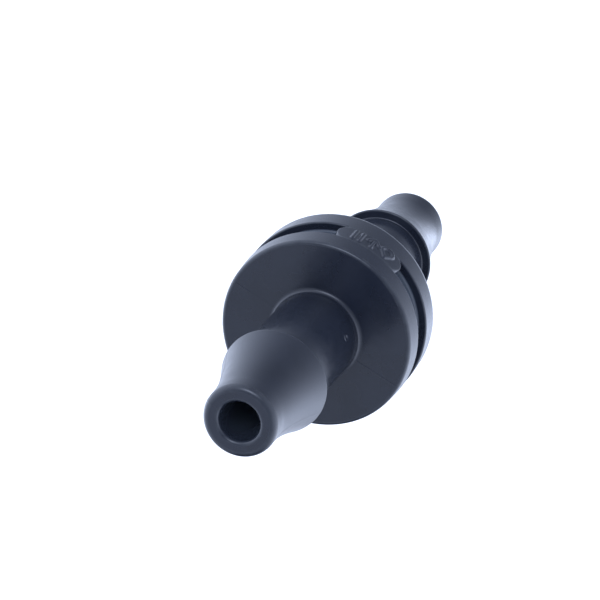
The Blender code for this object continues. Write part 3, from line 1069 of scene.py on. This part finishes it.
def circle(tree, radius, sides, place):
    item = node(tree, "GeometryNodeCurvePrimitiveCircle", place)
    item.inputs["Resolution"].default_value = sides
    tree.links.new(radius, item.inputs["Radius"])
    return item.outputs["Curve"]


def joined(tree, first, second, place):
    item = node(tree, "GeometryNodeJoinGeometry", place)
    tree.links.new(first, item.inputs["Geometry"])
    tree.links.new(second, item.inputs["Geometry"])
    return item.outputs["Geometry"]


# %% Holes in staggered rows
def math_node(tree, kind, place, first, second):
    """A Math node of one kind; its second value is a socket or a number."""
    item = node(tree, "ShaderNodeMath", place, operation=kind)
    tree.links.new(first, item.inputs[0])
    if isinstance(second, float):
        item.inputs[1].default_value = second
    else:
        tree.links.new(second, item.inputs[1])
    return item.outputs[0]


def hole_circles(tree, given, rows):
    """Circles on a staggered grid, kept where a whole hole fits inside the rim."""
    link = tree.links.new
    span = math_node(tree, "MULTIPLY", (-1400, 300), given["Pitch"], float(rows - 1))
    tall = math_node(tree, "MULTIPLY", (-1400, 150), span, math.sqrt(0.75))
    grid = node(tree, "GeometryNodeMeshGrid", (-1200, 300))
    grid.inputs["Vertices X"].default_value = rows
    grid.inputs["Vertices Y"].default_value = rows
    link(span, grid.inputs["Size X"])
    link(tall, grid.inputs["Size Y"])
    index = node(tree, "GeometryNodeInputIndex", (-1400, 0)).outputs[0]
    row = math_node(tree, "MODULO", (-1250, 0), index, float(rows))
    odd = math_node(tree, "MODULO", (-1100, 0), row, 2.0)
    half_pitch = math_node(tree, "MULTIPLY", (-1100, -150), given["Pitch"], 0.5)
    shift = math_node(tree, "MULTIPLY", (-950, 0), odd, half_pitch)
    sideways = node(tree, "ShaderNodeCombineXYZ", (-800, 0))
    link(shift, sideways.inputs["X"])
    staggered = node(tree, "GeometryNodeSetPosition", (-650, 300))
    link(grid.outputs["Mesh"], staggered.inputs["Geometry"])
    link(sideways.outputs[0], staggered.inputs["Offset"])
    spot = node(tree, "GeometryNodeInputPosition", (-800, 100))
    far = node(tree, "ShaderNodeVectorMath", (-650, 100), operation="LENGTH")
    link(spot.outputs[0], far.inputs[0])
    outside = math_node(tree, "GREATER_THAN", (-500, 100), far.outputs["Value"], given["Hole Limit"])
    kept = node(tree, "GeometryNodeDeleteGeometry", (-350, 300))
    link(staggered.outputs["Geometry"], kept.inputs["Geometry"])
    link(outside, kept.inputs["Selection"])
    holes = node(tree, "GeometryNodeInstanceOnPoints", (-180, 300))
    link(kept.outputs["Geometry"], holes.inputs["Points"])
    link(circle(tree, given["Hole Radius"], 12, (-350, 100)), holes.inputs["Instance"])
    real_holes = node(tree, "GeometryNodeRealizeInstances", (0, 300))
    link(holes.outputs["Instances"], real_holes.inputs["Geometry"])
    return real_holes.outputs["Geometry"]


# %% The screen tree
SCREEN_SIZES = (
    "Radius",
    "Rim Inside",
    "Thickness",
    "Sheet Thickness",
    "Sheet Lift",
    "Hole Radius",
    "Hole Limit",
    "Pitch",
    "Place X",
    "Rim Lift",
)


def build_screen_tree(rows):
    tree = bpy.data.node_groups.new("perforated_screen", "GeometryNodeTree")
    face = tree.interface
    face.new_socket("Mesh", in_out="INPUT", socket_type="NodeSocketGeometry")
    for name in SCREEN_SIZES:
        face.new_socket(name, in_out="INPUT", socket_type="NodeSocketFloat")
    face.new_socket("Plastic", in_out="INPUT", socket_type="NodeSocketMaterial")
    face.new_socket("Screen", in_out="OUTPUT", socket_type="NodeSocketGeometry")
    link = tree.links.new
    given = node(tree, "NodeGroupInput", (-1600, 0)).outputs
    holes = hole_circles(tree, given, rows)
    inner_edge = circle(tree, given["Rim Inside"], 96, (-180, 0))
    outer_edge = circle(tree, given["Radius"], 96, (-180, -150))
    sheet_curves = joined(tree, holes, inner_edge, (180, 200))
    rim_curves = joined(tree, outer_edge, inner_edge, (180, -100))
    sheet = sheet_from(tree, sheet_curves, given["Sheet Thickness"], given["Sheet Lift"], (350, 300))
    rim = sheet_from(tree, rim_curves, given["Thickness"], given["Rim Lift"], (350, -200))
    both = joined(tree, sheet, rim, (1250, 0))
    place = node(tree, "ShaderNodeCombineXYZ", (1250, -200))
    link(given["Place X"], place.inputs["X"])
    turned = node(tree, "GeometryNodeTransform", (1420, 0))
    turned.inputs["Rotation"].default_value = (0.0, math.radians(90.0), 0.0)
    link(place.outputs[0], turned.inputs["Translation"])
    link(both, turned.inputs["Geometry"])
    real = node(tree, "GeometryNodeRealizeInstances", (1580, 0))
    link(turned.outputs["Geometry"], real.inputs["Geometry"])
    painted = node(tree, "GeometryNodeSetMaterial", (1740, 0))
    link(real.outputs["Geometry"], painted.inputs["Geometry"])
    link(given["Plastic"], painted.inputs["Material"])
    result = node(tree, "NodeGroupOutput", (1900, 0))
    link(painted.outputs["Geometry"], result.inputs["Screen"])
    return tree


# %% Make the filter screen
screen = bpy.data.objects.new("perforated_disc", bpy.data.meshes.new("perforated_disc"))
bpy.context.collection.objects.link(screen)
sieve = screen.modifiers.new("perforated", "NODES")
sieve.node_group = build_screen_tree(rows=15)
print("screen tree has", len(sieve.node_group.nodes), "nodes")
screen_sizes = {
    "Radius": screen_high.z,
    "Rim Inside": screen_high.z - 0.35 * MM,
    "Thickness": screen_high.x - screen_low.x,
    "Sheet Thickness": 0.14 * MM,
    "Sheet Lift": 0.05 * MM,
    "Hole Radius": 0.16 * MM,
    "Hole Limit": screen_high.z - 0.62 * MM,
    "Pitch": 0.52 * MM,
    "Place X": screen_low.x,
    "Plastic": screen_grey,
}
set_inputs(sieve, screen_sizes)
graph = bpy.context.evaluated_depsgraph_get()
baked = bpy.data.meshes.new_from_object(screen.evaluated_get(graph))
screen.modifiers.clear()
screen.data = baked
finish(screen, "filter_screen", "housing")
